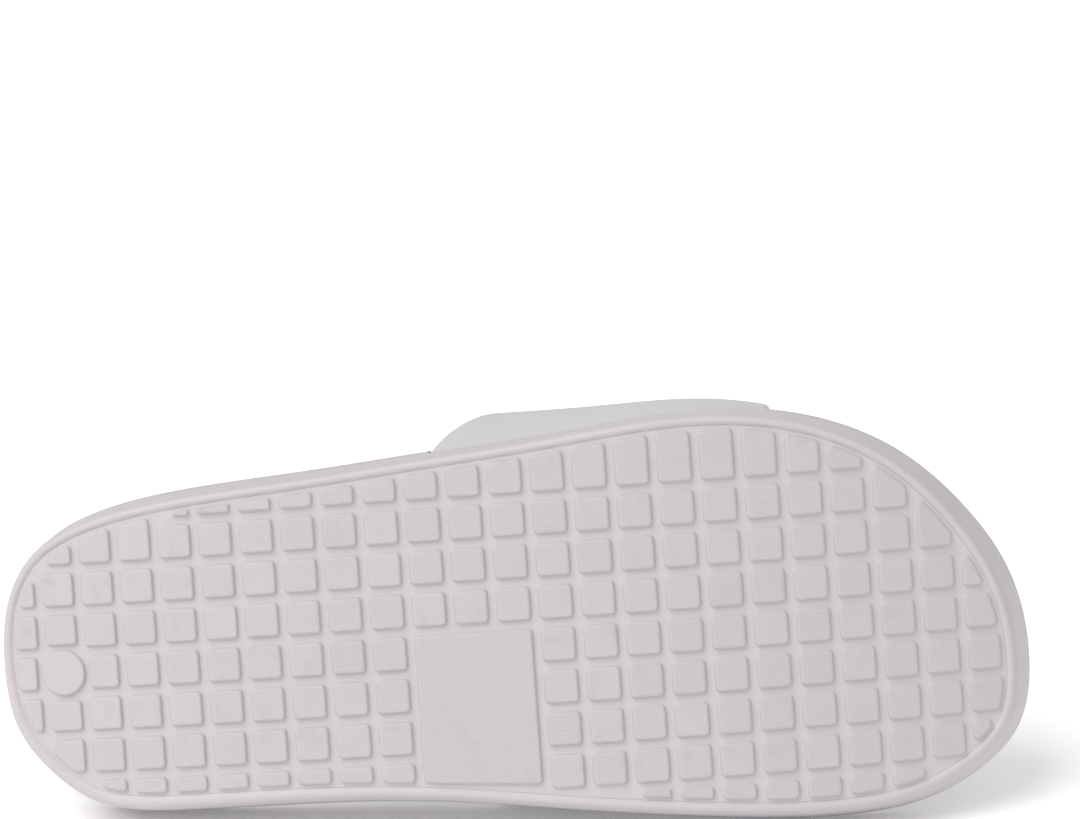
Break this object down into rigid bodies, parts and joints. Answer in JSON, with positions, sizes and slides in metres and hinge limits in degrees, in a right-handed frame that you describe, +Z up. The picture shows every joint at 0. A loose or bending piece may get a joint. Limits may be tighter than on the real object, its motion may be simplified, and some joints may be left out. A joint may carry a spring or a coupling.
{
  "type": "slide sandal",
  "caption": "Right-foot sport slide lying on its medial side: moulded foam sole with a square-lug tread plate, a dished footbed and one broad strap.",
  "frame": {"origin": "centre of the bounding box's bottom, on the floor that the lying shoe rests on", "axes": "+X to the toe, -Y the way the tread faces, +Z up to the lateral side"},
  "size_m": [0.287, 0.1046, 0.1139],
  "materials": {
    "tread_foam": "matte moulded foam",
    "moulded_foam": "satin moulded foam",
    "footbed_foam": "matte fine-grained foam",
    "coated_strap": "smooth coated strap"
  },
  "bodies": {
    "root": {"outsole": "tread_foam", "midsole": "moulded_foam", "footbed": "footbed_foam", "strap": "coated_strap"}
  },
  "joints": []
}
